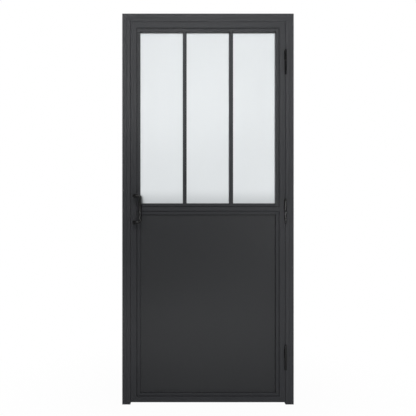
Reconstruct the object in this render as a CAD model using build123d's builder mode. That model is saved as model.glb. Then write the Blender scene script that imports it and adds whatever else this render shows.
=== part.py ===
from build123d import *
import os

# Glazed interior door of coated aluminium profiles, with its frame.
# Millimetres. +X towards the hinges, -Y towards the side the leaf opens to, +Z up.
# The origin lies on the floor, halfway across the doorway, in the middle of the frame's depth.
# A section is drawn in (u, v): u from the outer edge towards the middle of the opening,
# v from the front face backwards.

# Overall sizes. The leaf's size is that of its face, whose lip hides the wider gap behind it.
leaf_width = 830.0
leaf_height = 2040.0
leaf_thickness = 40.0
face_lip = 1.0
face_lip_depth = 3.0
floor_gap = 12.0
leaf_gap = 1.0
frame_face = 44.0
frame_depth = 72.0

# Profile walls and edges
frame_wall = 2.0
leaf_wall = 2.0
edge_round = 1.0
face_line_at = 23.6
face_line_width = 1.6
face_line_depth = 0.9
frame_web_at = 36.0

# Leaf profiles
stile_face = 32.0
mid_rail_face = 21.2
mid_rail_centre_z = 1049.1
lip_depth = 11.0
bead_groove = 3.0
bead_groove_depth = 6.0
bead_width = 16.2
bead_wall = 1.6
bead_round = 0.8
tongue_thickness = 1.4
tongue_reach = 1.6
tongue_clearance = 0.2
tongue_shoulder = 0.8

# Infill
glass_thickness = 6.0
panel_thickness = 16.0
panel_skin = 1.5
gasket_thickness = 2.0
gasket_edge = 1.0
gasket_set_back = 0.4
infill_bite = 12.0
infill_clearance = 0.1

# Glazing bars between the panes
bar_width = 20.0
bar_web = 3.0
bar_bite = 6.0
bar_count = 2
bar_wall = 1.6
bar_web_set_back = 4.0
bar_web_clearance = 0.3

# Door stop and its seal
stop_width = 12.0
stop_set_back = 4.0
stop_wall = 1.6
seal_radius = 3.6
seal_foot_width = 2.4
seal_foot_depth = 3.4
seal_clearance = 0.1
seal_leaf_clearance = 0.35

# Corner cleats inside the profiles
cleat_leg = 70.0
cleat_clearance = 0.2
leaf_cleat_front = 10.0
leaf_cleat_width = 24.0

# Hinges: the lower knuckle is fixed to the frame and carries the pin
knuckle_height = 56.0
hinge_radius = 5.5
hinge_stand_off = 2.0
hinge_above_leaf_bottom = 233.0
hinge_below_leaf_top = 207.0
hinge_finial = 20.0
hinge_cap = 3.0
hinge_finial_radius = 4.4
hinge_finial_ends = {"low": 1, "middle": -1, "high": -1}
hinge_pin_radius = 3.4
hinge_pin_length = 42.0
hinge_bore_clearance = 0.05
hinge_foot_width = 4.8
hinge_foot_height = 50.0
washer_thickness = 2.0
washer_radius = 4.9

# Pull handles, one on each face of the leaf
handle_centre_z = 1049.0
handle_spacing = 140.0
handle_offset = 32.0
handle_projection = 46.0
handle_radius = 8.0
handle_bend = 14.0
handle_fixing_at = 21.5
collar_radius = 9.8
collar_thickness = 2.5
collar_round = 0.8
bolt_radius = 3.0
bolt_clearance = 0.1
bolt_engagement = 12.0

# Magnetic catch at the top of the lock side
catch_from_corner = 62.0
catch_length = 46.0
catch_height = 13.0
catch_depth = 22.0
catch_gap = 0.5
catch_plate_thickness = 1.5
catch_plate_margin = 3.0

# Wall fixings through each jamb
fixing_radius = 4.1
fixing_head_radius = 8.0
fixing_depth = 20.0
fixing_from_end = 200.0
fixing_count = 4

# Worked out from the sizes above
half_opening = leaf_width / 2 + leaf_gap
half_frame = half_opening + frame_face
half_leaf = leaf_width / 2
leaf_bottom = floor_gap
leaf_top = leaf_bottom + leaf_height
frame_top = leaf_top + leaf_gap + frame_face
front = -frame_depth / 2
leaf_back = front + leaf_thickness
lip_front = leaf_thickness - lip_depth
sight = stile_face + bead_groove + bead_width
glass_front = lip_front - gasket_thickness - glass_thickness
panel_front = lip_front - gasket_thickness - panel_thickness
glass_bead_depth = glass_front - gasket_thickness
panel_bead_depth = panel_front - gasket_thickness
rail_low = mid_rail_centre_z - mid_rail_face / 2
rail_high = mid_rail_centre_z + mid_rail_face / 2

# A ring is (left, right, bottom, top): the outer edges that a section's u is measured from
frame_ring = (-half_frame, half_frame, 0.0, frame_top)
leaf_ring = (-half_leaf, half_leaf, leaf_bottom, leaf_top)
glass_ring = (-half_leaf, half_leaf, rail_high - stile_face, leaf_top)
panel_ring = (-half_leaf, half_leaf, leaf_bottom, rail_low + stile_face)

os.makedirs("parts", exist_ok=True)


def save(builder, name):
    """Label a finished piece and write it to its own file."""
    builder.part.label = name
    export_step(builder.part, f"parts/{name}.step")


def side_plane(ring, side):
    """Plane of a member's section, with x as u, y as v and z along the member."""
    left, right, bottom, top = ring
    if side == "lock":
        return Plane(origin=(left, front, bottom), x_dir=(1, 0, 0), z_dir=(0, 0, 1))
    if side == "hinge":
        return Plane(origin=(right, front, top), x_dir=(-1, 0, 0), z_dir=(0, 0, -1))
    if side == "top":
        return Plane(origin=(left, front, top), x_dir=(0, 0, -1), z_dir=(1, 0, 0))
    return Plane(origin=(right, front, bottom), x_dir=(0, 0, 1), z_dir=(-1, 0, 0))


def member(ring, side, section, first_mitre=True, last_mitre=True):
    """One side of a ring: its section drawn out to length, mitred where the ring turns."""
    left, right, bottom, top = ring
    length = right - left if side in ("top", "bottom") else top - bottom
    with BuildPart(mode=Mode.PRIVATE) as bar:
        with BuildSketch():
            add(section)
        extrude(amount=length)
        if first_mitre:
            split(bisect_by=Plane(origin=(0, 0, 0), z_dir=(-1, 0, 1)), keep=Keep.TOP)
        if last_mitre:
            split(bisect_by=Plane(origin=(0, 0, length), z_dir=(1, 0, 1)), keep=Keep.BOTTOM)
    return side_plane(ring, side).location * bar.part


def inset(ring, amount):
    """Rectangle set in from a ring, as centre x, centre z, width and height."""
    left, right, bottom, top = ring
    width = right - left - 2 * amount
    height = top - bottom - 2 * amount
    return (left + right) / 2, (bottom + top) / 2, width, height


def slab(rectangle, near, far):
    """Flat plate over a rectangle of the door's plane, between two depths behind the front face."""
    x, z, width, height = rectangle
    with BuildPart(mode=Mode.PRIVATE) as plate:
        with BuildSketch(Plane.XZ.offset(-(front + near))):
            with Locations((x, z)):
                Rectangle(width, height)
        extrude(amount=-(far - near))
    return plate.part


def grown(rectangle, amount):
    """Rectangle made larger on every side."""
    x, z, width, height = rectangle
    return x, z, width + 2 * amount, height + 2 * amount


# Frame section: two hollow chambers and a fine line along the face
with BuildSketch() as frame_section:
    with Locations((frame_face / 2, frame_depth / 2)):
        Rectangle(frame_face, frame_depth)
    fillet(frame_section.vertices(), edge_round)
    chamber_width = frame_face - 2 * frame_wall
    with Locations((frame_face / 2, (frame_wall + frame_web_at - frame_wall / 2) / 2)):
        Rectangle(chamber_width, frame_web_at - 1.5 * frame_wall, mode=Mode.SUBTRACT)
    with Locations((frame_face / 2, (frame_web_at + frame_depth - frame_wall / 2) / 2)):
        Rectangle(chamber_width, frame_depth - frame_web_at - 1.5 * frame_wall, mode=Mode.SUBTRACT)
    with BuildLine():
        Polyline(
            (face_line_at - face_line_width / 2, 0),
            (face_line_at, face_line_depth),
            (face_line_at + face_line_width / 2, 0),
            close=True,
        )
    make_face(mode=Mode.SUBTRACT)

# Stop section: a hollow strip with a slot for its seal
stop_front = leaf_thickness + stop_set_back
seal_centre_u = frame_face + stop_width / 2
with BuildSketch() as stop_section:
    with Locations((seal_centre_u, (stop_front + frame_depth) / 2)):
        Rectangle(stop_width, frame_depth - stop_front)
    fillet(stop_section.vertices().group_by(Axis.X)[-1], edge_round)
    slot_depth = seal_foot_depth + 2 * seal_clearance
    hollow_front = stop_front + slot_depth + stop_wall
    with Locations((seal_centre_u, (hollow_front + frame_depth - stop_wall) / 2)):
        Rectangle(
            stop_width - 2 * stop_wall,
            frame_depth - stop_wall - hollow_front,
            mode=Mode.SUBTRACT,
        )
    with Locations((seal_centre_u, stop_front + slot_depth / 2)):
        Rectangle(seal_foot_width + 2 * seal_clearance, slot_depth, mode=Mode.SUBTRACT)

# Seal section: a half-round bulb on a foot
with BuildSketch() as seal_section:
    with Locations((seal_centre_u, stop_front)):
        Circle(seal_radius)
    with Locations((seal_centre_u, stop_front + seal_radius / 2)):
        Rectangle(2 * seal_radius, seal_radius, mode=Mode.SUBTRACT)
    with Locations((seal_centre_u, leaf_thickness + seal_leaf_clearance / 2)):
        Rectangle(2 * seal_radius, seal_leaf_clearance, mode=Mode.SUBTRACT)
    with Locations((seal_centre_u, stop_front + seal_foot_depth / 2)):
        Rectangle(seal_foot_width, seal_foot_depth)

# Leaf section: a hollow box with a hollow rebate lip behind, and a slot for the beads' tongues
tongue_front = bead_groove_depth + tongue_shoulder
slot_front = tongue_front - tongue_clearance
slot_width = tongue_thickness + 2 * tongue_clearance
slot_reach = tongue_reach + tongue_clearance


def tongue_slot(edge, inwards):
    """The bead slot in a rebate wall at u = edge, with its backing wall on the hollow side."""
    middle = slot_front + slot_width / 2
    backing = slot_reach + leaf_wall
    with Locations((edge - inwards * backing / 2, middle)):
        Rectangle(backing, slot_width + 2 * leaf_wall)
    with Locations((edge - inwards * slot_reach / 2, middle)):
        Rectangle(slot_reach, slot_width, mode=Mode.SUBTRACT)


with BuildSketch() as leaf_section:
    with BuildLine():
        Polyline(
            (0, 0),
            (stile_face, 0),
            (stile_face, lip_front),
            (sight, lip_front),
            (sight, leaf_thickness),
            (face_lip, leaf_thickness),
            (face_lip, face_lip_depth),
            (0, face_lip_depth),
            close=True,
        )
    make_face()
    offset(amount=-leaf_wall, kind=Kind.INTERSECTION, mode=Mode.SUBTRACT)
    tongue_slot(stile_face, 1)
    fillet(leaf_section.vertices().group_by(Axis.X)[0].sort_by(Axis.Y)[0], edge_round)
    body_edge = leaf_section.vertices().group_by(Axis.X)[1]
    fillet(body_edge.sort_by(Axis.Y)[-1], edge_round)
    fillet(leaf_section.vertices().group_by(Axis.X)[-1].sort_by(Axis.Y)[-1], edge_round)

# Middle rail section, drawn about its own centre line: u is height, v is depth
half_rail = mid_rail_face / 2
half_rail_back = half_rail + bead_groove + bead_width
with BuildSketch() as rail_section:
    with BuildLine():
        Polyline(
            (-half_rail, 0),
            (half_rail, 0),
            (half_rail, lip_front),
            (half_rail_back, lip_front),
            (half_rail_back, leaf_thickness),
            (-half_rail_back, leaf_thickness),
            (-half_rail_back, lip_front),
            (-half_rail, lip_front),
            close=True,
        )
    make_face()
    offset(amount=-leaf_wall, kind=Kind.INTERSECTION, mode=Mode.SUBTRACT)
    tongue_slot(half_rail, 1)
    tongue_slot(-half_rail, -1)


def bead_section(depth):
    """Clip-on bead of a given depth, with its tongue and a groove left open beside the face."""
    with BuildSketch(mode=Mode.PRIVATE) as section:
        with BuildLine():
            Polyline(
                (stile_face + bead_groove, 0),
                (sight, 0),
                (sight, depth),
                (stile_face, depth),
                (stile_face, bead_groove_depth),
                (stile_face + bead_groove, bead_groove_depth),
                close=True,
            )
        make_face()
        face_corners = section.vertices().group_by(Axis.Y)[0]
        fillet(face_corners, bead_round)
        hollow_width = bead_width - 2 * bead_wall
        with Locations((stile_face + bead_groove + bead_width / 2, depth / 2)):
            Rectangle(hollow_width, depth - 2 * bead_wall, mode=Mode.SUBTRACT)
        with Locations((stile_face - tongue_reach / 2, tongue_front + tongue_thickness / 2)):
            Rectangle(tongue_reach, tongue_thickness)
    return section.sketch


glass_bead = bead_section(glass_bead_depth)
panel_bead = bead_section(panel_bead_depth)

# Frame members. The jambs stand on the floor and are mitred to the head.
fixing_pitch = (frame_top - 2 * fixing_from_end) / (fixing_count - 1)
fixing_heights = [fixing_from_end + place * fixing_pitch for place in range(fixing_count)]


def fixing_holes(side):
    """Cutters for the wall fixings: a clearance hole outside, opened for the screw's head inside."""
    inwards = 1 if side == "lock" else -1
    outer_plane = Plane(
        origin=(-inwards * half_frame, front + fixing_depth, 0),
        x_dir=(0, 1, 0),
        z_dir=(inwards, 0, 0),
    )
    inner_plane = outer_plane.offset(frame_face - frame_wall)
    with BuildPart(mode=Mode.PRIVATE) as cutters:
        for plane, radius in ((outer_plane, fixing_radius), (inner_plane, fixing_head_radius)):
            with BuildSketch(plane):
                with Locations(*[(0, inwards * height) for height in fixing_heights]):
                    Circle(radius)
            extrude(amount=frame_wall)
    return cutters.part


with BuildPart() as jamb_lock:
    add(member(frame_ring, "lock", frame_section.sketch, first_mitre=False))
    add(fixing_holes("lock"), mode=Mode.SUBTRACT)
save(jamb_lock, "jamb_lock")

with BuildPart() as jamb_hinge:
    add(member(frame_ring, "hinge", frame_section.sketch, last_mitre=False))
    add(fixing_holes("hinge"), mode=Mode.SUBTRACT)
save(jamb_hinge, "jamb_hinge")

with BuildPart() as frame_head:
    add(member(frame_ring, "top", frame_section.sketch))
save(frame_head, "frame_head")

# Stops end level with the leaf's bottom edge
stop_ring = (-half_frame, half_frame, leaf_bottom, frame_top)
for side, first, last in (("lock", False, True), ("hinge", True, False), ("top", True, True)):
    label = "head" if side == "top" else side
    with BuildPart() as stop:
        add(member(stop_ring, side, stop_section.sketch, first, last))
    save(stop, f"stop_{label}")
    with BuildPart() as seal:
        add(member(stop_ring, side, seal_section.sketch, first, last))
    save(seal, f"stop_seal_{label}")


def corner_cleat(corner_x, corner_z, right, up, width, near, far):
    """L-shaped cleat in a mitred corner: legs run along +right and +up from the corner point."""
    with BuildPart(mode=Mode.PRIVATE) as cleat:
        with BuildSketch(Plane.XZ.offset(-(front + near))):
            with BuildLine():
                Polyline(
                    (corner_x, corner_z),
                    (corner_x + right * cleat_leg, corner_z),
                    (corner_x + right * cleat_leg, corner_z + up * width),
                    (corner_x + right * width, corner_z + up * width),
                    (corner_x + right * width, corner_z + up * cleat_leg),
                    (corner_x, corner_z + up * cleat_leg),
                    close=True,
                )
            make_face()
        extrude(amount=-(far - near))
    return cleat.part


frame_cleat_inset = frame_wall + cleat_clearance
for side, sign in (("lock", 1), ("hinge", -1)):
    with BuildPart() as cleat:
        add(
            corner_cleat(
                -sign * (half_frame - frame_cleat_inset),
                frame_top - frame_cleat_inset,
                sign,
                -1,
                frame_face - 2 * frame_cleat_inset,
                frame_cleat_inset,
                frame_web_at - frame_wall / 2 - cleat_clearance,
            )
        )
    save(cleat, f"frame_cleat_{side}")

leaf_cleat_inset = face_lip + leaf_wall + cleat_clearance
for end, corner_z, up in (("low", leaf_bottom, 1), ("high", leaf_top, -1)):
    for side, sign in (("lock", 1), ("hinge", -1)):
        with BuildPart() as cleat:
            add(
                corner_cleat(
                    -sign * (half_leaf - leaf_cleat_inset),
                    corner_z + up * leaf_cleat_inset,
                    sign,
                    up,
                    leaf_cleat_width,
                    leaf_cleat_front,
                    leaf_thickness - leaf_wall - cleat_clearance,
                )
            )
        save(cleat, f"leaf_cleat_{side}_{end}")

# Leaf profiles
handle_x = -half_leaf + handle_fixing_at
handle_heights = (
    handle_centre_z - handle_spacing / 2,
    handle_centre_z + handle_spacing / 2,
)
bolt_hole_radius = bolt_radius + bolt_clearance


def bolt_holes(near, far):
    """Cutters for the handle bolts, between two depths behind the front face."""
    with BuildPart(mode=Mode.PRIVATE) as cutters:
        with BuildSketch(Plane.XZ.offset(-(front + near))):
            with Locations(*[(handle_x, height) for height in handle_heights]):
                Circle(bolt_hole_radius)
        extrude(amount=-(far - near))
    return cutters.part


with BuildPart() as stile_lock:
    add(member(leaf_ring, "lock", leaf_section.sketch))
    add(bolt_holes(0, leaf_thickness), mode=Mode.SUBTRACT)
save(stile_lock, "stile_lock")

for side, label in (("hinge", "stile_hinge"), ("top", "rail_top"), ("bottom", "rail_bottom")):
    with BuildPart() as profile:
        add(member(leaf_ring, side, leaf_section.sketch))
    save(profile, label)

# The middle rail runs between the stiles' boxes, and its lip is cut back to the stiles' lips
rail_half_length = half_leaf - stile_face
rail_plane = Plane(
    origin=(-rail_half_length, front, mid_rail_centre_z),
    x_dir=(0, 0, -1),
    z_dir=(1, 0, 0),
)
with BuildPart() as rail_middle:
    with BuildSketch(rail_plane):
        add(rail_section.sketch)
    extrude(amount=2 * rail_half_length)
    cope_length = sight - stile_face
    with BuildSketch(Plane.XZ.offset(-(front + lip_front))):
        for way in (-1, 1):
            with Locations((way * (rail_half_length - cope_length / 2), mid_rail_centre_z)):
                Rectangle(cope_length, 2 * half_rail_back)
    extrude(amount=-lip_depth, mode=Mode.SUBTRACT)
save(rail_middle, "rail_middle")

# Beads: a mitred ring round the glass and another round the panel
for ring, section, label in (
    (glass_ring, glass_bead, "glazing_bead"),
    (panel_ring, panel_bead, "panel_bead"),
):
    for side in ("lock", "hinge", "top", "bottom"):
        with BuildPart() as bead:
            add(member(ring, side, section))
        save(bead, f"{label}_{side}")

# Panes and glazing bars
glass_opening = inset(glass_ring, sight)
opening_x, opening_z, opening_width, opening_height = glass_opening
pane_pitch = (opening_width + bar_width) / (bar_count + 1)
bar_names = ("left", "right")
pane_names = ("left", "middle", "right")
bar_centres = [
    opening_x + (place - (bar_count - 1) / 2) * pane_pitch for place in range(bar_count)
]

for name, centre in zip(bar_names, bar_centres):
    # The bar itself: a back flange in line with the rebate lips and a web between the panes
    with BuildPart() as bar:
        add(slab((centre, opening_z, bar_width, opening_height), lip_front, leaf_thickness))
        fillet(bar.edges().filter_by(Axis.Z).group_by(Axis.Y)[-1], edge_round)
        add(slab((centre, opening_z, bar_web, opening_height), bar_web_set_back, lip_front))
    save(bar, f"glazing_bar_{name}")
    # Its cover: a channel that closes over the web from the front
    with BuildPart() as cover:
        cover_rectangle = (centre, opening_z, bar_width, opening_height)
        add(slab(cover_rectangle, 0, glass_bead_depth))
        fillet(cover.edges().filter_by(Axis.Z).group_by(Axis.Y)[0], bead_round)
        hollow_rectangle = (centre, opening_z, bar_width - 2 * bar_wall, opening_height)
        add(
            slab(hollow_rectangle, bar_wall, glass_bead_depth - bar_wall),
            mode=Mode.SUBTRACT,
        )
        way_in = (centre, opening_z, bar_web + 2 * bar_web_clearance, opening_height)
        add(
            slab(way_in, glass_bead_depth - bar_wall, glass_bead_depth),
            mode=Mode.SUBTRACT,
        )
    save(cover, f"bar_cover_{name}")

pane_edges = (
    [opening_x - opening_width / 2]
    + [centre + way * bar_width / 2 for centre in bar_centres for way in (-1, 1)]
    + [opening_x + opening_width / 2]
)


def plate_over(sight_rectangle, bites):
    """Full rectangle of a pane or panel: the sight size grown by its bites left, right and at both ends."""
    x, z, width, height = sight_rectangle
    left_bite, right_bite = bites
    return (
        x + (right_bite - left_bite) / 2,
        z,
        width + left_bite + right_bite,
        height + 2 * infill_bite,
    )


def channel_gasket(sight_rectangle, plate_rectangle, near, thickness):
    """Channel gasket round the edge of a plate, stopping a little short of the sight line."""
    outer_near = near - gasket_thickness + infill_clearance
    outer_far = near + thickness + gasket_thickness - infill_clearance
    with BuildPart(mode=Mode.PRIVATE) as gasket:
        add(slab(grown(plate_rectangle, gasket_edge), outer_near, outer_far))
        add(
            slab(grown(sight_rectangle, gasket_set_back), outer_near, outer_far),
            mode=Mode.SUBTRACT,
        )
        add(slab(plate_rectangle, near, near + thickness), mode=Mode.SUBTRACT)
    return gasket.part


for number, name in enumerate(pane_names):
    left_edge, right_edge = pane_edges[2 * number], pane_edges[2 * number + 1]
    pane_rectangle = (
        (left_edge + right_edge) / 2,
        opening_z,
        right_edge - left_edge,
        opening_height,
    )
    bites = (
        infill_bite if number == 0 else bar_bite,
        infill_bite if number == bar_count else bar_bite,
    )
    pane_plate = plate_over(pane_rectangle, bites)
    with BuildPart() as pane:
        add(slab(pane_plate, glass_front, glass_front + glass_thickness))
    save(pane, f"pane_{name}")
    with BuildPart() as gasket:
        add(channel_gasket(pane_rectangle, pane_plate, glass_front, glass_thickness))
    save(gasket, f"pane_gasket_{name}")

# The lower panel: two sheet skins on a board core, held by a channel gasket as the panes are
panel_sight = inset(panel_ring, sight)
panel_plate = plate_over(panel_sight, (infill_bite, infill_bite))
panel_layers = (
    ("panel_skin_front", panel_front, panel_skin),
    ("panel_core", panel_front + panel_skin, panel_thickness - 2 * panel_skin),
    ("panel_skin_back", panel_front + panel_thickness - panel_skin, panel_skin),
)
for name, near, thickness in panel_layers:
    with BuildPart() as layer:
        add(slab(panel_plate, near, near + thickness))
    save(layer, name)

with BuildPart() as panel_gasket:
    add(channel_gasket(panel_sight, panel_plate, panel_front, panel_thickness))
save(panel_gasket, "panel_gasket")

# Hinges
hinge_x = (half_leaf + half_opening) / 2
hinge_y = front - hinge_stand_off - hinge_radius
hinge_low = leaf_bottom + hinge_above_leaf_bottom
hinge_high = leaf_top - hinge_below_leaf_top
hinge_heights = {"low": hinge_low, "middle": (hinge_low + hinge_high) / 2, "high": hinge_high}


def knuckle(centre_z, way, tip_height):
    """One knuckle with its end piece and welding foot, below (way -1) or above (way +1) the washer."""
    inner_z = centre_z + way * washer_thickness / 2
    outer_z = inner_z + way * knuckle_height
    with BuildPart(mode=Mode.PRIVATE) as half:
        with BuildSketch(Plane.XY.offset(inner_z)):
            with Locations((hinge_x, hinge_y)):
                Circle(hinge_radius)
        extrude(amount=way * knuckle_height)
        fillet(half.edges().filter_by(GeomType.CIRCLE).sort_by(Axis.Z)[0 if way < 0 else -1], edge_round)
        with BuildSketch(Plane.XY.offset(outer_z)):
            with Locations((hinge_x, hinge_y)):
                Circle(hinge_finial_radius)
        extrude(amount=way * tip_height)
        tip = half.edges().filter_by(GeomType.CIRCLE).sort_by(Axis.Z)[0 if way < 0 else -1]
        fillet(tip, hinge_cap * 0.8)
        # The frame's foot lies on the +X side of the gap, the leaf's foot on the -X side
        foot_edge = hinge_x - way * hinge_radius
        foot_x = foot_edge + way * hinge_foot_width / 2
        foot_z = inner_z + way * knuckle_height / 2
        with BuildSketch(Plane.XY.offset(foot_z - hinge_foot_height / 2)):
            with Locations((foot_x, (hinge_y + front) / 2)):
                Rectangle(hinge_foot_width, front - hinge_y)
        extrude(amount=hinge_foot_height)
    return half.part


for name, centre_z in hinge_heights.items():
    finial_above = hinge_finial_ends[name] > 0
    with BuildPart() as frame_half:
        add(knuckle(centre_z, -1, hinge_cap if finial_above else hinge_finial))
        with BuildSketch(Plane.XY.offset(centre_z - washer_thickness / 2)):
            with Locations((hinge_x, hinge_y)):
                Circle(hinge_pin_radius)
        extrude(amount=hinge_pin_length)
        chamfer(frame_half.edges().filter_by(GeomType.CIRCLE).sort_by(Axis.Z)[-1], edge_round)
    save(frame_half, f"hinge_frame_{name}")

    with BuildPart() as leaf_half:
        add(knuckle(centre_z, 1, hinge_finial if finial_above else hinge_cap))
        with BuildSketch(Plane.XY.offset(centre_z + washer_thickness / 2)):
            with Locations((hinge_x, hinge_y)):
                Circle(hinge_pin_radius + hinge_bore_clearance)
        extrude(amount=hinge_pin_length, mode=Mode.SUBTRACT)
    save(leaf_half, f"hinge_leaf_{name}")

    with BuildPart() as washer:
        with BuildSketch(Plane.XY.offset(centre_z - washer_thickness / 2)):
            with Locations((hinge_x, hinge_y)):
                Circle(washer_radius)
                Circle(hinge_pin_radius + hinge_bore_clearance, mode=Mode.SUBTRACT)
        extrude(amount=washer_thickness)
    save(washer, f"hinge_washer_{name}")


def pull_handle(face_y, way):
    """Cranked bar handle that stands out from a face at face_y, towards way along Y."""
    foot_y = face_y + way * collar_thickness
    bar_y = face_y + way * handle_projection
    bar_x = handle_x + handle_offset
    low_z, high_z = handle_heights
    with BuildPart(mode=Mode.PRIVATE) as handle:
        with BuildLine():
            FilletPolyline(
                (handle_x, foot_y, high_z),
                (handle_x, bar_y, high_z),
                (bar_x, bar_y, high_z),
                (bar_x, bar_y, low_z),
                (handle_x, bar_y, low_z),
                (handle_x, foot_y, low_z),
                radius=handle_bend,
            )
        with BuildSketch(Plane(origin=(handle_x, foot_y, high_z), z_dir=(0, way, 0))):
            Circle(handle_radius)
        sweep()
        for height in handle_heights:
            with BuildSketch(Plane(origin=(handle_x, face_y, height), z_dir=(0, way, 0))):
                Circle(collar_radius)
            extrude(amount=collar_thickness)
        rims = handle.edges().filter_by(GeomType.CIRCLE).filter_by(
            lambda rim: abs(rim.radius - collar_radius) < edge_round / 10
            and abs(rim.center().Y - foot_y) < edge_round / 10
        )
        fillet(rims, collar_round)
        with BuildSketch(Plane.XZ.offset(-face_y)):
            with Locations(*[(handle_x, height) for height in handle_heights]):
                Circle(bolt_hole_radius)
        extrude(amount=-way * (collar_thickness + bolt_engagement), mode=Mode.SUBTRACT)
    return handle.part


for name, face_y, way in (("front", front, -1), ("back", leaf_back, 1)):
    with BuildPart() as handle:
        add(pull_handle(face_y, way))
    save(handle, f"handle_{name}")

bolt_start = collar_thickness + bolt_engagement - edge_round
for end, height in zip(("low", "high"), handle_heights):
    with BuildPart() as bolt:
        with BuildSketch(Plane(origin=(handle_x, front - bolt_start, height), z_dir=(0, 1, 0))):
            Circle(bolt_radius)
        extrude(amount=leaf_thickness + 2 * bolt_start)
    save(bolt, f"handle_bolt_{end}")

# Magnetic catch: the magnet hangs under the head's stop, its plate is on the leaf's back
catch_x = -half_opening + catch_from_corner
catch_top = frame_top - frame_face - stop_width
catch_centre_z = catch_top - catch_height / 2
catch_front = leaf_thickness + catch_plate_thickness + catch_gap
with BuildPart() as catch_magnet:
    add(
        slab(
            (catch_x, catch_centre_z, catch_length, catch_height),
            catch_front,
            catch_front + catch_depth,
        )
    )
    fillet(catch_magnet.edges().filter_by(Axis.Y).group_by(Axis.Z)[0], edge_round)
save(catch_magnet, "catch_magnet")

with BuildPart() as catch_plate:
    add(
        slab(
            (
                catch_x,
                catch_centre_z,
                catch_length - 2 * catch_plate_margin,
                catch_height,
            ),
            leaf_thickness,
            leaf_thickness + catch_plate_thickness,
        )
    )
save(catch_plate, "catch_plate")
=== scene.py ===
"""Looks of a glazed interior door with its frame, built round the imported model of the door."""

import logging
import math
from dataclasses import dataclass, field
from enum import Enum

import bmesh
import bpy
from mathutils import Matrix, Vector


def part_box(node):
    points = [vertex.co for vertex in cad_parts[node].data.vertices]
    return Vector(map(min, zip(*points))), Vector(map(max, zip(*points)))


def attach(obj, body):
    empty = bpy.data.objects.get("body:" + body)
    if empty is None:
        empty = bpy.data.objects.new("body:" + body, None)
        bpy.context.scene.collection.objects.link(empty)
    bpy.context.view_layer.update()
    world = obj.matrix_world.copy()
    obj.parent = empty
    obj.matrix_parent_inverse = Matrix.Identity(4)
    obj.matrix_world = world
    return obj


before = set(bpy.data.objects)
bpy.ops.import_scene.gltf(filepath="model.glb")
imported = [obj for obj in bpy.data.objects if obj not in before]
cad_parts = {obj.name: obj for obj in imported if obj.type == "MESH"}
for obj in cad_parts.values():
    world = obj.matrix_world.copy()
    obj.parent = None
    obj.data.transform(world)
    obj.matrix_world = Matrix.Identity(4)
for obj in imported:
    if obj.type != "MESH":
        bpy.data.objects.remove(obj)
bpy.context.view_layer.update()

log = logging.getLogger("door")

Colour = tuple[float, float, float]
Socket = bpy.types.NodeSocket
Value = Socket | float

MM = 0.001
FULL_TURN = 2 * math.pi
NOISE_SPAN = (0.3, 0.7)
BLACK = (0.0, 0.0, 0.0, 1.0)
WHITE = (1.0, 1.0, 1.0, 1.0)


class Body(Enum):
    """The two bodies of the door."""

    FRAME = "frame"
    LEAF = "leaf"


class Side(Enum):
    """The lock side is on the left, the hinge side on the right, seen from the front."""

    LOCK = "lock"
    HINGE = "hinge"

    @property
    def outwards(self) -> int:
        """Sign of X from the middle of the door towards this side."""
        return 1 if self is Side.HINGE else -1


def display(red: int, green: int, blue: int) -> Colour:
    """Turn an 8-bit display colour into the linear colour that a shader takes.

    Args:
        red: Red, 0 to 255.
        green: Green, 0 to 255.
        blue: Blue, 0 to 255.

    Returns:
        The same colour with linear channels, 0 to 1.
    """
    channels = []
    for level in (red, green, blue):
        part = level / 255
        channels.append(part / 12.92 if part <= 0.04045 else ((part + 0.055) / 1.055) ** 2.4)
    return tuple(channels)


def shaded(colour: Colour, factor: float) -> tuple[float, float, float, float]:
    """Scale a linear colour and add the alpha that a colour socket needs."""
    return (*(channel * factor for channel in colour), 1.0)


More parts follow.
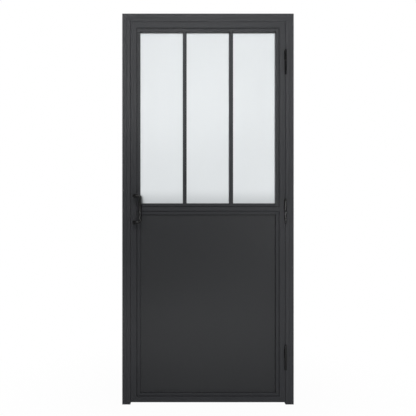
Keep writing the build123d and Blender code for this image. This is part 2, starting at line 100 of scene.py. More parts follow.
class NodeGraph:
    """A node tree with short calls for the nodes that the finishes use."""

    def __init__(self, tree: bpy.types.NodeTree) -> None:
        """Empty the tree.

        Args:
            tree: The tree of a material or of the world.
        """
        self.tree = tree
        tree.nodes.clear()

    def add(self, kind: str, **settings: object) -> bpy.types.Node:
        """Add one node.

        Args:
            kind: Blender's type name, without its ShaderNode prefix.
            settings: Properties of the node.

        Returns:
            The new node.
        """
        node = self.tree.nodes.new(f"ShaderNode{kind}")
        for name, setting in settings.items():
            setattr(node, name, setting)
        return node

    def feed(self, target: Socket, value: object) -> None:
        """Link a socket to its source, or write a plain value on it."""
        if isinstance(value, bpy.types.NodeSocket):
            self.tree.links.new(value, target)
        else:
            target.default_value = value

    def math(self, operation: str, first: Value, second: Value = 0.0) -> Socket:
        """Add a Math node.

        Args:
            operation: The node's operation.
            first: First value or its source.
            second: Second value or its source, where the operation takes one.

        Returns:
            The result's socket.
        """
        node = self.add("Math", operation=operation)
        self.feed(node.inputs[0], first)
        self.feed(node.inputs[1], second)
        return node.outputs[0]

    def place(self) -> Socket:
        """Give the surface point in the door's own frame, in metres."""
        return self.add("TexCoord").outputs["Object"]

    def stretched(self, point: Socket, factors: tuple[float, float, float]) -> Socket:
        """Scale a point along each axis, for grain that runs one way."""
        mapping = self.add("Mapping")
        self.feed(mapping.inputs["Vector"], point)
        self.feed(mapping.inputs["Scale"], factors)
        return mapping.outputs["Vector"]

    def noise(self, point: Socket, grain: float, detail: float = 2.0) -> Socket:
        """Add a noise whose features have a given size.

        Args:
            point: Where the noise is read.
            grain: Size of its features in metres.
            detail: Octaves of finer noise.

        Returns:
            Socket of a value round 0.5.
        """
        node = self.add("TexNoise")
        self.feed(node.inputs["Vector"], point)
        node.inputs["Scale"].default_value = 1 / grain
        node.inputs["Detail"].default_value = detail
        return node.outputs[0]

    def spread(self, value: Socket, start: tuple[float, float], end: tuple[float, float]) -> Socket:
        """Map one range of a value onto another, held at its ends.

        Args:
            value: The value to map.
            start: The range it comes in.
            end: The range it leaves in.

        Returns:
            Socket of the mapped value.
        """
        node = self.add("MapRange", interpolation_type="SMOOTHSTEP")
        self.feed(node.inputs["Value"], value)
        for name, number in zip(("From Min", "From Max", "To Min", "To Max"), (*start, *end)):
            node.inputs[name].default_value = number
        return node.outputs[0]

    def around(self, value: Socket, middle: float, below: float, above: float) -> Socket:
        """Let a noise carry a number a little below and above its middle.

        Args:
            value: The noise.
            middle: The number that it moves round.
            below: How far it goes below.
            above: How far it goes above.

        Returns:
            Socket of the moving number.
        """
        return self.spread(value, NOISE_SPAN, (middle - below, middle + above))

    def mix(self, factor: Value, first: object, second: object) -> Socket:
        """Blend two colours.

        Args:
            factor: 0 for the first colour and 1 for the second.
            first: A colour or its source.
            second: A colour or its source.

        Returns:
            Socket of the blended colour.
        """
        node = self.add("Mix", data_type="RGBA")
        self.feed(node.inputs[0], factor)
        self.feed(node.inputs[6], first)
        self.feed(node.inputs[7], second)
        return node.outputs[2]

    def bump(self, height: Socket, depth: float, normal: Socket | None = None) -> Socket:
        """Turn a height into a bumped normal.

        Args:
            height: Height from 0 to 1.
            depth: Depth of a full step in metres.
            normal: A normal to start from.

        Returns:
            Socket of the normal.
        """
        node = self.add("Bump")
        node.inputs["Distance"].default_value = depth
        self.feed(node.inputs["Height"], height)
        if normal is not None:
            self.feed(node.inputs["Normal"], normal)
        return node.outputs["Normal"]


@dataclass(frozen=True)
class Ring:
    """A mitred rectangle in the door's plane, by its half width, middle height and half height."""

    half_width: float
    middle_z: float
    half_height: float


@dataclass(frozen=True)
class Finish:
    """What all finishes share: a name, and a material made once."""

    name: str

    def material(self) -> bpy.types.Material:
        """Make the finish's material, or hand out the one made before.

        Returns:
            The material.
        """
        made = bpy.data.materials.get(self.name)
        if made is None:
            made = bpy.data.materials.new(self.name)
            made.use_nodes = True
            graph = NodeGraph(made.node_tree)
            shader = graph.add("BsdfPrincipled")
            output = graph.add("OutputMaterial")
            graph.feed(output.inputs["Surface"], shader.outputs[0])
            self.wire(graph, shader)
        return made

    def wire(self, graph: NodeGraph, shader: bpy.types.Node) -> None:
        """Set the shader's sockets. Each finish has its own way."""
        raise NotImplementedError


@dataclass(frozen=True)
class PowderCoat(Finish):
    """Fine textured coat on metal: sandy grain, a soft orange peel and slight changes of tone, with
    painted highlights on its arrises and painted shade in its deep recesses.
    """

    colour: Colour
    roughness: float = 0.4
    gloss: float = 0.2
    grain: float = 0.9 * MM
    grain_depth: float = 0.035 * MM
    peel: float = 4.0 * MM
    peel_depth: float = 0.03 * MM
    tone_change: float = 0.07
    cloud_share: float = 0.2
    cloud: float = 0.25
    # Painted highlight: a lighter copy of the coat laid along rounded arrises, as if they caught
    # the light.
    edge_highlight: float = 0.15
    edge_highlight_tone: float = 1.9
    edge_reach: float = 0.8 * MM
    mitre: Ring | None = None
    mitre_width: float = 0.3 * MM
    mitre_shade: float = 0.45
    # Painted shade: how far the occlusion looks and how dark the coat turns in deep grooves and
    # recesses.
    recess_reach: float = 9.0 * MM
    recess_shade: float = 0.3

    def wire(self, graph: NodeGraph, shader: bpy.types.Node) -> None:
        """Lay grain, peel, tone, painted edge highlights, painted recess shade and mitre lines over
        the coat's colour.

        Args:
            graph: The material's graph.
            shader: Its surface shader.
        """
        point = graph.place()
        sand = graph.noise(point, self.grain, detail=3.0)
        peel = graph.noise(point, self.peel)
        cloud = graph.noise(point, self.cloud, detail=1.0)
        fine_tone = graph.math("MULTIPLY", sand, 1 - self.cloud_share)
        tone = graph.math("ADD", fine_tone, graph.math("MULTIPLY", cloud, self.cloud_share))
        low = shaded(self.colour, 1 - 2 * self.tone_change)
        high = shaded(self.colour, 1 + 2 * self.tone_change)
        coat = graph.mix(graph.spread(tone, (0.25, 0.75), (0.0, 1.0)), low, high)
        soft = graph.add("Bevel", samples=4)
        soft.inputs["Radius"].default_value = self.edge_reach
        flat = graph.add("NewGeometry").outputs["Normal"]
        agreement = graph.add("VectorMath", operation="DOT_PRODUCT")
        graph.feed(agreement.inputs[0], soft.outputs[0])
        graph.feed(agreement.inputs[1], flat)
        # Painted highlight: where the bevelled normal leans off the flat one, the coat turns
        # lighter.
        edge = graph.spread(agreement.outputs["Value"], (0.75, 1.0), (self.edge_highlight, 0.0))
        edge = graph.math("MULTIPLY", edge, graph.spread(peel, (0.3, 0.6), (0.5, 1.0)))
        coat = graph.mix(edge, coat, shaded(self.colour, self.edge_highlight_tone))
        # Painted shade: ambient occlusion blackens the coat in deep grooves and recesses, where
        # shade falls.
        open_sky = graph.add("AmbientOcclusion", samples=8)
        open_sky.inputs["Distance"].default_value = self.recess_reach
        painted_recess_shade = graph.spread(open_sky.outputs["AO"], (0.15, 0.5), (1 - self.recess_shade, 0.0))
        coat = graph.mix(painted_recess_shade, coat, BLACK)
        peel_height = graph.math("MULTIPLY", peel, self.peel_depth / self.grain_depth)
        height = graph.math("ADD", sand, peel_height)
        if self.mitre is not None:
            line = self.mitre_line(graph, point, self.mitre)
            coat = graph.mix(graph.math("MULTIPLY", line, 1 - self.mitre_shade), coat, BLACK)
            height = graph.math("SUBTRACT", height, line)
        graph.feed(shader.inputs["Base Color"], coat)
        graph.feed(shader.inputs["Roughness"], graph.around(peel, self.roughness, 0.04, 0.05))
        shader.inputs["Specular IOR Level"].default_value = self.gloss
        graph.feed(shader.inputs["Normal"], graph.bump(height, self.grain_depth, soft.outputs[0]))

    def mitre_line(self, graph: NodeGraph, point: Socket, ring: Ring) -> Socket:
        """Find the hairline where two mitred members meet.

        Args:
            graph: The material's graph.
            point: The surface point.
            ring: The outer edge of the members.

        Returns:
            Socket that is 1 on the line and 0 away from it.
        """
        parts = graph.add("SeparateXYZ")
        graph.feed(parts.inputs[0], point)
        aside = graph.math("ABSOLUTE", parts.outputs["X"])
        from_side = graph.math("SUBTRACT", ring.half_width, aside)
        height = graph.math("ABSOLUTE", graph.math("SUBTRACT", parts.outputs["Z"], ring.middle_z))
        from_end = graph.math("SUBTRACT", ring.half_height, height)
        off_line = graph.math("ABSOLUTE", graph.math("SUBTRACT", from_side, from_end))
        return graph.spread(off_line, (0.0, self.mitre_width), (1.0, 0.0))


@dataclass(frozen=True)
class SatinGlass(Finish):
    """Etched white glass: it glows with the light behind and shows no picture through it; shade is
    painted at the foot of the panes.
    """

    colour: Colour
    # Painted shade at the foot of the panes: its colour, where it sits and how far up it fades.
    foot_shade_colour: Colour
    foot_z: float
    fade: float = 0.08
    roughness: float = 0.35
    through: float = 1.0
    refraction: float = 1.45
    cloud: float = 0.05
    cloud_grain: float = 0.12
    etch_grain: float = 0.8 * MM
    etch_depth: float = 0.02 * MM

    def wire(self, graph: NodeGraph, shader: bpy.types.Node) -> None:
        """Lay the etch over the glass, with painted shade darkening it towards the foot of the
        panes.

        Args:
            graph: The material's graph.
            shader: Its surface shader.
        """
        point = graph.place()
        parts = graph.add("SeparateXYZ")
        graph.feed(parts.inputs[0], point)
        # Painted shade: the colour darkens to the foot colour over the lowest part of each pane.
        fade_span = (self.foot_z, self.foot_z + self.fade)
        height = graph.spread(parts.outputs["Z"], fade_span, (0.0, 1.0))
        drift = graph.noise(graph.stretched(point, (1.0, 1.0, 0.4)), self.cloud_grain, detail=1.0)
        low = shaded(self.colour, 1 - self.cloud / 2)
        high = shaded(self.colour, 1 + self.cloud / 2)
        whole = graph.mix(drift, low, high)
        graph.feed(shader.inputs["Base Color"], graph.mix(height, (*self.foot_shade_colour, 1.0), whole))
        etch = graph.noise(point, self.etch_grain, detail=2.0)
        graph.feed(shader.inputs["Roughness"], graph.around(etch, self.roughness, 0.05, 0.05))
        graph.feed(shader.inputs["Normal"], graph.bump(etch, self.etch_depth))
        shader.inputs["Transmission Weight"].default_value = self.through
        shader.inputs["IOR"].default_value = self.refraction


@dataclass(frozen=True)
class Rubber(Finish):
    """Black extruded rubber, matt, with faint draw lines."""

    colour: Colour
    dust_grain: float = 3.0 * MM
    line_grain: float = 0.5 * MM
    line_depth: float = 0.02 * MM

    def wire(self, graph: NodeGraph, shader: bpy.types.Node) -> None:
        """Lay dust and draw lines over the rubber.

        Args:
            graph: The material's graph.
            shader: Its surface shader.
        """
        point = graph.place()
        dust = graph.noise(point, self.dust_grain, detail=3.0)
        low, high = shaded(self.colour, 0.8), shaded(self.colour, 1.3)
        graph.feed(shader.inputs["Base Color"], graph.mix(dust, low, high))
        graph.feed(shader.inputs["Roughness"], graph.spread(dust, NOISE_SPAN, (0.62, 0.78)))
        lines = graph.noise(graph.stretched(point, (1.0, 1.0, 0.02)), self.line_grain)
        graph.feed(shader.inputs["Normal"], graph.bump(lines, self.line_depth))
        shader.inputs["Specular IOR Level"].default_value = 0.3


@dataclass(frozen=True)
class BareMetal(Finish):
    """Uncoated metal with a drawn or cast grain."""

    colour: Colour
    roughness: float
    grain: float
    draw: tuple[float, float, float] = (1.0, 1.0, 1.0)
    grain_depth: float = 0.03 * MM
    tarnish_grain: float = 12.0 * MM

    def wire(self, graph: NodeGraph, shader: bpy.types.Node) -> None:
        """Lay the grain over the metal.

        Args:
            graph: The material's graph.
            shader: Its surface shader.
        """
        point = graph.place()
        grain = graph.noise(graph.stretched(point, self.draw), self.grain, detail=3.0)
        tarnish = graph.noise(point, self.tarnish_grain)
        low, high = shaded(self.colour, 0.82), shaded(self.colour, 1.08)
        graph.feed(shader.inputs["Base Color"], graph.mix(tarnish, low, high))
        graph.feed(shader.inputs["Roughness"], graph.around(grain, self.roughness, 0.06, 0.08))
        graph.feed(shader.inputs["Normal"], graph.bump(grain, self.grain_depth))
        shader.inputs["Metallic"].default_value = 1.0


@dataclass(frozen=True)
class Board(Finish):
    """Pressed fibre board, as its sawn edge shows."""

    light: Colour
    dark: Colour
    fibre_grain: float = 0.6 * MM
    fibre_depth: float = 0.06 * MM

    def wire(self, graph: NodeGraph, shader: bpy.types.Node) -> None:
        """Lay short fibres over the board.

        Args:
            graph: The material's graph.
            shader: Its surface shader.
        """
        point = graph.place()
        fibre = graph.noise(graph.stretched(point, (0.3, 1.0, 0.3)), self.fibre_grain, detail=4.0)
        share = graph.spread(fibre, NOISE_SPAN, (0.0, 1.0))
        colour = graph.mix(share, (*self.dark, 1.0), (*self.light, 1.0))
        graph.feed(shader.inputs["Base Color"], colour)
        graph.feed(shader.inputs["Roughness"], graph.spread(fibre, NOISE_SPAN, (0.75, 0.9)))
        graph.feed(shader.inputs["Normal"], graph.bump(fibre, self.fibre_depth))


@dataclass(frozen=True)
class MouldedPlastic(Finish):
    """Dark moulded plastic with a fine spark-eroded grain."""

    colour: Colour
    roughness: float = 0.5
    grain: float = 0.4 * MM
    grain_depth: float = 0.03 * MM
    flow_grain: float = 9.0 * MM

    def wire(self, graph: NodeGraph, shader: bpy.types.Node) -> None:
        """Lay the mould's grain over the plastic.

        Args:
            graph: The material's graph.
            shader: Its surface shader.
        """
        point = graph.place()
        grain = graph.noise(point, self.grain, detail=2.0)
        flow = graph.noise(point, self.flow_grain)
        low, high = shaded(self.colour, 0.88), shaded(self.colour, 1.12)
        graph.feed(shader.inputs["Base Color"], graph.mix(flow, low, high))
        graph.feed(shader.inputs["Roughness"], graph.around(grain, self.roughness, 0.05, 0.07))
        graph.feed(shader.inputs["Normal"], graph.bump(grain, self.grain_depth))
        shader.inputs["Specular IOR Level"].default_value = 0.4


def bead_ring(name: str) -> Ring:
    """Ring of four beads, measured to the clip side of the beads' tongues.

    Args:
        name: First word of the beads' nodes.

    Returns:
        The ring whose corners lie on the beads' mitres.
    """
    side_low, side_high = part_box(f"{name}_bead_hinge")
    top_low, top_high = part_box(f"{name}_bead_top")
    bottom_low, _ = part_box(f"{name}_bead_bottom")
    return Ring(side_high.x, (bottom_low.z + top_high.z) / 2, (top_high.z - bottom_low.z) / 2)


FRAME_HALF_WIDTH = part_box("frame_head")[1].x
FRAME_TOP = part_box("frame_head")[1].z
# The frame has no rail at the floor, so its ring reaches far below it, clear of the jambs' feet
FRAME_RING = Ring(FRAME_HALF_WIDTH, -FRAME_TOP, 2 * FRAME_TOP)
STILE_LOW, STILE_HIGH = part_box("stile_hinge")
LEAF_RING = Ring(
    STILE_HIGH.x,
    (STILE_LOW.z + STILE_HIGH.z) / 2,
    (STILE_HIGH.z - STILE_LOW.z) / 2,
)

FRAME_COAT = PowderCoat("frame_powder_coat", display(60, 61, 64), mitre=FRAME_RING)
LEAF_COAT = PowderCoat("leaf_powder_coat", display(57, 58, 61), mitre=LEAF_RING)
GLASS_BEAD_COAT = PowderCoat("glass_bead_coat", display(55, 56, 59), mitre=bead_ring("glazing"))
PANEL_BEAD_COAT = PowderCoat("panel_bead_coat", display(55, 56, 59), mitre=bead_ring("panel"))
BAR_COAT = PowderCoat("bar_powder_coat", display(55, 56, 59))
PANEL_COAT = PowderCoat(
    "panel_powder_coat",
    display(56, 57, 59),
    grain_depth=0.06 * MM,
    cloud_share=0.1,
)
HINGE_COAT = PowderCoat(
    "hinge_satin_coat",
    display(8, 8, 9),
    roughness=0.15,
    gloss=0.6,
    grain_depth=0.015 * MM,
)
HANDLE_COAT = PowderCoat(
    "handle_satin_coat",
    display(14, 14, 15),
    roughness=0.3,
    gloss=0.45,
    grain_depth=0.012 * MM,
)
SEAL_RUBBER = Rubber("seal_rubber_black", display(28, 28, 29))
GASKET_RUBBER = Rubber("gasket_rubber_black", display(24, 24, 25))
PANE_GLASS = SatinGlass(
    "satin_white_glass",
    display(223, 227, 229),
    # painted shade colour at the foot of the panes
    display(196, 200, 202),
    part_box("glazing_bead_bottom")[1].z,
)
CAST_ALLOY = BareMetal("cast_alloy", display(176, 178, 180), 0.5, 0.8 * MM)
WASHER_NYLON = MouldedPlastic("washer_nylon_black", display(22, 22, 23), roughness=0.42)
ZINC_STEEL = BareMetal("zinc_steel", display(168, 171, 176), 0.34, 0.4 * MM, draw=(0.1, 1.0, 1.0))
CORE_BOARD = Board("core_board_fibre", display(172, 138, 98), display(128, 98, 66))
HOUSING_PLASTIC = MouldedPlastic("housing_plastic", display(38, 38, 40))


def dress(finish: Finish, *nodes: str) -> None:
    """Give CAD nodes a finish.

    Args:
        finish: The finish.
        nodes: Names of the nodes.
    """
    for name in nodes:
        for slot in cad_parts[name].material_slots:
            slot.material = finish.material()
        log.info("dressed %s with %s", name, finish.name)


def settle(
    mesh: bmesh.types.BMesh,
    name: str,
    body: Body,
    finish: Finish,
) -> bpy.types.Object:
    """Turn a finished bmesh into a piece of the door.

    Args:
        mesh: The shape, in the door's frame.
        name: The piece's name.
        body: The body that it moves with.
        finish: Its finish.

    Returns:
        The new object.
    """
    bmesh.ops.remove_doubles(mesh, verts=mesh.verts, dist=0.01 * MM)
    bmesh.ops.recalc_face_normals(mesh, faces=mesh.faces)
    data = bpy.data.meshes.new(name)
    mesh.to_mesh(data)
    mesh.free()
    piece = bpy.data.objects.new(name, data)
    bpy.context.scene.collection.objects.link(piece)
    data.materials.append(finish.material())
    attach(piece, body.value)
    log.info("built %s on the %s, %d faces", name, body.value, len(data.polygons))
    return piece


def loft(mesh: bmesh.types.BMesh, rings: list[list[Vector]]) -> None:
    """Skin a row of rings and close both ends.

    Args:
        mesh: Receives the faces.
        rings: Rings with the same number of points each.
    """
    loops = [[mesh.verts.new(point) for point in ring] for ring in rings]
    count = len(rings[0])
    for first, second in zip(loops, loops[1:]):
        for place in range(count):
            after = (place + 1) % count
            mesh.faces.new((first[place], first[after], second[after], second[place]))
    for end in (loops[0], loops[-1]):
        mesh.faces.new(end)


@dataclass
class SocketScrew:
    """Head of a small screw with a hexagon socket."""

    radius: float = 2.6 * MM
    height: float = 1.2 * MM
    crown: float = 0.5 * MM
    socket: float = 1.1 * MM
    socket_depth: float = 0.9 * MM
    points: int = 36

    def socket_radius(self, angle: float) -> float:
        """Distance from the screw's axis to the wall of the socket at an angle."""
        sixth = FULL_TURN / 6
        return self.socket / math.cos(angle % sixth - sixth / 2)

    def build(self, mesh: bmesh.types.BMesh, seat: Vector, outwards: Vector) -> None:
        """Add one head.

        Args:
            mesh: Receives the head.
            seat: Middle of the face that the head sits on.
            outwards: Direction away from that face.
        """
        turn = outwards.to_track_quat("Z", "Y").to_matrix().to_4x4()
        place = Matrix.Translation(seat) @ turn
        angles = [FULL_TURN * step / self.points for step in range(self.points)]
        steps = (
            (self.radius, 0.0),
            (self.radius, self.height - self.crown),
            (self.radius - 0.3 * self.crown, self.height - 0.3 * self.crown),
            (self.radius - self.crown, self.height),
        )
        rings = [[(radius, height) for _ in angles] for radius, height in steps]
        for height in (self.height, self.height - self.socket_depth):
            rings.append([(self.socket_radius(angle), height) for angle in angles])
        placed = [
            [
                place @ Vector((radius * math.cos(angle), radius * math.sin(angle), height))
                for angle, (radius, height) in zip(angles, ring)
            ]
            for ring in rings
        ]
        loft(mesh, placed)


@dataclass
class DoorFrame:
    """The fixed frame: two jambs, a head, their cleats, and the stops with their seals."""

    cap_radius: float = 7.9 * MM
    cap_sink: float = 0.2 * MM
    cap_dome: float = 0.15 * MM
    cap_thickness: float = 1.6 * MM
    cap_arris: float = 0.3 * MM
    cap_points: int = 40
    fixing_depth: float = 20.0 * MM
    fixing_from_end: float = 200.0 * MM
    fixing_count: int = 4
    face_width: float = 44.0 * MM

    def dress(self) -> None:
        """Give the frame's own nodes their finishes."""
        dress(FRAME_COAT, "jamb_lock", "jamb_hinge", "frame_head")
        dress(FRAME_COAT, "stop_lock", "stop_hinge", "stop_head")
        dress(SEAL_RUBBER, "stop_seal_lock", "stop_seal_hinge", "stop_seal_head")
        dress(CAST_ALLOY, "frame_cleat_lock", "frame_cleat_hinge")

    def build_caps(self, side: Side) -> None:
        """Close the screw holes in one jamb's inner face with flush caps.

        Args:
            side: The jamb.
        """
        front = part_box("jamb_lock")[0].y
        face_x = side.outwards * (FRAME_HALF_WIDTH - self.face_width)
        angles = [FULL_TURN * step / self.cap_points for step in range(self.cap_points)]
        pitch = (FRAME_TOP - 2 * self.fixing_from_end) / (self.fixing_count - 1)
        for number in range(self.fixing_count):
            height = self.fixing_from_end + number * pitch
            cap = bmesh.new()
            rings = []
            for radius, depth in (
                (self.cap_radius, self.cap_thickness),
                (self.cap_radius, self.cap_sink + self.cap_arris),
                (self.cap_radius - self.cap_arris, self.cap_sink),
                (self.cap_radius * 0.6, self.cap_sink - self.cap_dome * 0.7),
                (self.cap_radius * 0.2, self.cap_sink - self.cap_dome),
            ):
                x = face_x + side.outwards * depth
                centre = Vector((x, front + self.fixing_depth, height))
                rings.append(
                    [
                        centre + Vector((0, radius * math.cos(angle), radius * math.sin(angle)))
                        for angle in angles
                    ]
                )
            loft(cap, rings)
            name = f"fixing_cap_{side.value}_{number + 1}"
            settle(cap, name, Body.FRAME, HOUSING_PLASTIC)


@dataclass
class Leaf:
    """The moving leaf's own profiles and the cleats in their corners."""

    def dress(self) -> None:
        """Give the leaf's profiles their finishes."""
        dress(LEAF_COAT, "stile_lock", "stile_hinge", "rail_top", "rail_bottom", "rail_middle")
        for side in Side:
            dress(CAST_ALLOY, f"leaf_cleat_{side.value}_low", f"leaf_cleat_{side.value}_high")


@dataclass
class Glazing:
    """Three panes with their gaskets, beads and the two bars between them."""

    panes: tuple[str, ...] = ("left", "middle", "right")
    bars: tuple[str, ...] = ("left", "right")
    sides: tuple[str, ...] = ("lock", "hinge", "top", "bottom")

    def dress(self) -> None:
        """Give the glazing's nodes their finishes."""
        dress(PANE_GLASS, *(f"pane_{name}" for name in self.panes))
        dress(GASKET_RUBBER, *(f"pane_gasket_{name}" for name in self.panes))
        dress(BAR_COAT, *(f"glazing_bar_{name}" for name in self.bars))
        dress(BAR_COAT, *(f"bar_cover_{name}" for name in self.bars))
        dress(GLASS_BEAD_COAT, *(f"glazing_bead_{side}" for side in self.sides))


@dataclass
class LowerPanel:
    """The solid panel: two coated sheets on a board, its gasket and beads."""

    sides: tuple[str, ...] = ("lock", "hinge", "top", "bottom")

    def dress(self) -> None:
        """Give the panel's nodes their finishes."""
        dress(PANEL_COAT, "panel_skin_front", "panel_skin_back")
        dress(CORE_BOARD, "panel_core")
        dress(GASKET_RUBBER, "panel_gasket")
        dress(PANEL_BEAD_COAT, *(f"panel_bead_{side}" for side in self.sides))


@dataclass
class Hinge:
    """A lift-off hinge of two knuckles, welded to the frame and to the leaf by their feet."""

    name: str
    foot_height: float = 50.0 * MM
    knuckle_height: float = 56.0 * MM
    knuckle_radius: float = 5.5 * MM
    bead_radius: float = 1.7 * MM
    ripple_pitch: float = 1.6 * MM
    ripple_depth: float = 0.16
    ripple_steps: int = 6
    end_slope: float = 12.0
    end_size: float = 0.35
    arc_points: int = 7

    def dress(self) -> None:
        """Give the hinge's nodes their finishes."""
        dress(HINGE_COAT, f"hinge_frame_{self.name}", f"hinge_leaf_{self.name}")
        dress(WASHER_NYLON, f"hinge_washer_{self.name}")

    def build_weld(self, body: Body) -> None:
        """Run a weld bead down the open side of one foot.

        Args:
            body: The frame, for the lower knuckle, or the leaf, for the upper one.
        """
        washer_low, washer_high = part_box(f"hinge_washer_{self.name}")
        outwards = 1 if body is Body.FRAME else -1
        inner_z = washer_low.z if body is Body.FRAME else washer_high.z
        middle_z = inner_z - outwards * self.knuckle_height / 2
        hinge_x = (washer_low.x + washer_high.x) / 2
        corner_x = hinge_x + outwards * self.knuckle_radius
        corner_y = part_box("jamb_lock")[0].y
        steps = round(self.foot_height / self.ripple_pitch * self.ripple_steps)
        rings = []
        for step in range(steps + 1):
            along = step / steps
            z = middle_z + (along - 0.5) * self.foot_height
            ripple = math.sin(FULL_TURN * along * self.foot_height / self.ripple_pitch)
            to_end = min(along, 1 - along)
            taper = min(1.0, self.end_slope * to_end + self.end_size)
            radius = self.bead_radius * taper * (1 + self.ripple_depth * ripple)
            ring = [Vector((corner_x, corner_y, z))]
            for place in range(self.arc_points):
                angle = FULL_TURN / 4 * place / (self.arc_points - 1)
                x = corner_x + outwards * radius * math.cos(angle)
                ring.append(Vector((x, corner_y - radius * math.sin(angle), z)))
            rings.append(ring)
        bead = bmesh.new()
        loft(bead, rings)
        piece = settle(bead, f"hinge_weld_{body.value}_{self.name}", body, HINGE_COAT)
        piece.data.polygons.foreach_set("use_smooth", [True] * len(piece.data.polygons))


@dataclass
class PullHandle:
    """The cranked bar handles on both faces and the bolts that hold them."""

    def dress(self) -> None:
        """Give the handles' nodes their finishes."""
        dress(HANDLE_COAT, "handle_front", "handle_back")
        dress(ZINC_STEEL, "handle_bolt_low", "handle_bolt_high")


@dataclass
class MagneticCatch:
    """The magnet under the head's stop and its plate on the leaf."""

    pole_height: float = 2.4 * MM
    pole_spacing: float = 6.0 * MM
    pole_margin: float = 5.0 * MM
    pole_proud: float = 0.15 * MM
    pole_depth: float = 1.0 * MM
    pole_arris: float = 0.05 * MM
    screw_from_end: float = 6.0 * MM
    plate_screw_from_end: float = 7.0 * MM
    housing_screw: SocketScrew = field(default_factory=SocketScrew)
    plate_screw: SocketScrew = field(
        default_factory=lambda: SocketScrew(
            radius=2.2 * MM,
            height=0.12 * MM,
            crown=0.05 * MM,
            socket_depth=0.1 * MM,
        )
    )

    def dress(self) -> None:
        """Give the catch's nodes their finishes."""
        dress(HOUSING_PLASTIC, "catch_magnet")
        dress(ZINC_STEEL, "catch_plate")

    def build_poles(self) -> None:
        """Set the two pole strips in the magnet's front face."""
        low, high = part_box("catch_magnet")
        middle_z = (low.z + high.z) / 2
        for number, way in enumerate((-1, 1), start=1):
            centre_z = middle_z + way * self.pole_spacing / 2
            strip = bmesh.new()
            rings = []
            for x in (low.x + self.pole_margin, high.x - self.pole_margin):
                rings.append(
                    [
                        Vector((x, low.y - self.pole_proud, centre_z - self.pole_height / 2)),
                        Vector((x, low.y - self.pole_proud, centre_z + self.pole_height / 2)),
                        Vector((x, low.y + self.pole_depth, centre_z + self.pole_height / 2)),
                        Vector((x, low.y + self.pole_depth, centre_z - self.pole_height / 2)),
                    ]
                )
            loft(strip, rings)
            piece = settle(strip, f"catch_pole_{number}", Body.FRAME, ZINC_STEEL)
            soften = piece.modifiers.new("arris", "BEVEL")
            soften.width = self.pole_arris
            soften.segments = 2

    def build_screws(self) -> None:
        """Put the screws under the housing and in the plate."""
        low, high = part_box("catch_magnet")
        heads = bmesh.new()
        for x in (low.x + self.screw_from_end, high.x - self.screw_from_end):
            seat = Vector((x, (low.y + high.y) / 2, low.z))
            self.housing_screw.build(heads, seat, Vector((0, 0, -1)))
        settle(heads, "catch_housing_screws", Body.FRAME, ZINC_STEEL)
        low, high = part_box("catch_plate")
        heads = bmesh.new()
        for x in (low.x + self.plate_screw_from_end, high.x - self.plate_screw_from_end):
            seat = Vector((x, high.y, (low.z + high.z) / 2))
            self.plate_screw.build(heads, seat, Vector((0, 1, 0)))
        settle(heads, "catch_plate_screws", Body.LEAF, ZINC_STEEL)


@dataclass
class Lamp:
    """One soft rectangular lamp."""

    name: str
    place: tuple[float, float, float]
    aim: tuple[float, float, float]
    size: tuple[float, float]
    watts: float
    spread: float = 180.0

    def build(self) -> None:
        """Hang the lamp, out of the camera's sight."""
        data = bpy.data.lights.new(self.name, "AREA")
        data.shape = "RECTANGLE"
        data.size, data.size_y = self.size
        data.energy = self.watts
        data.spread = math.radians(self.spread)
        lamp = bpy.data.objects.new(self.name, data)
        bpy.context.scene.collection.objects.link(lamp)
        lamp.location = self.place
        ray = Vector(self.aim) - Vector(self.place)
        lamp.rotation_euler = ray.to_track_quat("-Z", "Y").to_euler()
        lamp.visible_camera = False
        log.info("hung lamp %s", self.name)


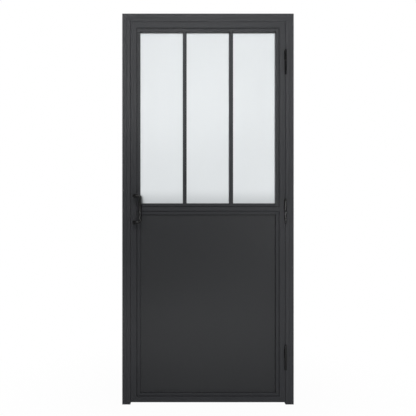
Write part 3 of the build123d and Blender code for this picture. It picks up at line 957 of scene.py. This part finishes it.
@dataclass
class Studio:
    """White floor and surroundings, lamps and camera."""

    floor_size: float = 30.0
    floor_colour: Colour = (0.8, 0.8, 0.8)
    floor_glow: float = 0.97
    shadow_reach: float = 1.6
    surround: float = 0.105
    sensor: float = 36.0
    camera_distance: float = 3.0
    camera_x: float = -0.19
    camera_z: float = 1.054
    view_width: float = 2.231
    lamps: tuple[Lamp, ...] = (
        Lamp("high_lamp", (0.0, -6.0, 5.5), (0.0, 0.0, 1.8), (6.0, 2.0), 184.0),
        Lamp("close_lamp", (0.0, -3.2, 2.1), (0.0, 0.0, 2.05), (2.4, 0.4), 2.9, spread=45.0),
        Lamp("key_lamp", (1.1, -4.0, 1.0), (0.0, 0.0, 1.0), (0.2, 0.2), 9.2),
        Lamp("right_lamp", (1.4, -1.8, 0.5), (0.3, 0.0, 0.6), (0.5, 0.5), 3.5),
        Lamp("left_lamp", (-2.6, -1.8, 1.0), (0.0, 0.0, 1.0), (2.4, 0.4), 1.4),
        Lamp("foot_lamp", (0.0, -1.4, 0.15), (0.0, 0.0, 0.15), (1.4, 0.2), 2.7),
        Lamp("hinge_glint", (-2.6, -1.8, 1.045), (0.415, -0.045, 1.045), (0.2, 0.5), 0.032, 6.0),
        Lamp("handle_glint", (-2.6, -1.8, 1.0), (-0.367, -0.07, 1.04), (0.2, 0.2), 0.010, 6.0),
    )

    def seen_directly(self, graph: NodeGraph) -> Socket:
        """Find whether a ray comes from the camera or through glass.

        Args:
            graph: A material's or the world's graph.

        Returns:
            Socket that is 1 for such a ray and 0 otherwise.
        """
        path = graph.add("LightPath")
        direct, through_glass = path.outputs["Is Camera Ray"], path.outputs["Is Transmission Ray"]
        total = graph.math("ADD", direct, through_glass)
        return graph.math("MINIMUM", total, 1.0)

    def build_floor(self) -> None:
        """Lay a pale floor that keeps the door's shadow and looks white."""
        half = self.floor_size / 2
        mesh = bmesh.new()
        ways = ((-1, -1), (1, -1), (1, 1), (-1, 1))
        mesh.faces.new([mesh.verts.new((x * half, y * half, 0.0)) for x, y in ways])
        data = bpy.data.meshes.new("floor")
        mesh.to_mesh(data)
        mesh.free()
        floor = bpy.data.objects.new("floor", data)
        bpy.context.scene.collection.objects.link(floor)
        paint = bpy.data.materials.new("floor_paint")
        paint.use_nodes = True
        graph = NodeGraph(paint.node_tree)
        matt = graph.add("BsdfDiffuse")
        matt.inputs["Color"].default_value = (*self.floor_colour, 1.0)
        glow = graph.add("Emission")
        blend = graph.add("MixShader")
        away = graph.add("VectorMath", operation="LENGTH")
        graph.feed(away.inputs[0], graph.place())
        fade_span = (0.0, self.shadow_reach)
        glow_share = graph.spread(away.outputs["Value"], fade_span, (self.floor_glow, 1.0))
        graph.feed(blend.inputs[0], graph.math("MULTIPLY", self.seen_directly(graph), glow_share))
        graph.feed(blend.inputs[1], matt.outputs[0])
        graph.feed(blend.inputs[2], glow.outputs[0])
        output = graph.add("OutputMaterial")
        graph.feed(output.inputs["Surface"], blend.outputs[0])
        data.materials.append(paint)
        log.info("laid the floor")

    def build_surround(self) -> None:
        """Make the surroundings white where they are seen, and a soft level where they light."""
        world = bpy.data.worlds.new("surround")
        bpy.context.scene.world = world
        world.use_nodes = True
        graph = NodeGraph(world.node_tree)
        lighting = graph.add("Background")
        lighting.inputs["Strength"].default_value = self.surround
        seen = graph.add("Background")
        for background in (lighting, seen):
            background.inputs["Color"].default_value = WHITE
        blend = graph.add("MixShader")
        graph.feed(blend.inputs[0], self.seen_directly(graph))
        graph.feed(blend.inputs[1], lighting.outputs[0])
        graph.feed(blend.inputs[2], seen.outputs[0])
        output = graph.add("OutputWorld")
        graph.feed(output.inputs["Surface"], blend.outputs[0])
        log.info("set the surroundings")

    def build_camera(self) -> None:
        """Set the camera square to the door's front face, as the photograph was taken."""
        data = bpy.data.cameras.new("camera")
        data.sensor_width = self.sensor
        data.lens = self.sensor * self.camera_distance / self.view_width
        data.shift_x = -self.camera_x / self.view_width
        camera = bpy.data.objects.new("camera", data)
        bpy.context.scene.collection.objects.link(camera)
        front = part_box("jamb_lock")[0].y
        camera.location = (self.camera_x, front - self.camera_distance, self.camera_z)
        camera.rotation_euler = (math.radians(90), 0, 0)
        bpy.context.scene.camera = camera
        log.info("set the camera")

    def build(self) -> None:
        """Build the whole studio."""
        bpy.context.scene.view_settings.view_transform = "Standard"
        self.build_floor()
        self.build_surround()
        for lamp in self.lamps:
            lamp.build()
        self.build_camera()


def main() -> None:
    """Build and dress every sub-assembly in order."""
    logging.basicConfig(level=logging.INFO, format="%(message)s")
    Studio().build()
    door_frame = DoorFrame()
    door_frame.dress()
    for side in Side:
        door_frame.build_caps(side)
    Leaf().dress()
    Glazing().dress()
    LowerPanel().dress()
    for name in ("low", "middle", "high"):
        hinge = Hinge(name)
        hinge.dress()
        for body in Body:
            hinge.build_weld(body)
    PullHandle().dress()
    catch = MagneticCatch()
    catch.dress()
    catch.build_poles()
    catch.build_screws()


if __name__ == "__main__":
    main()
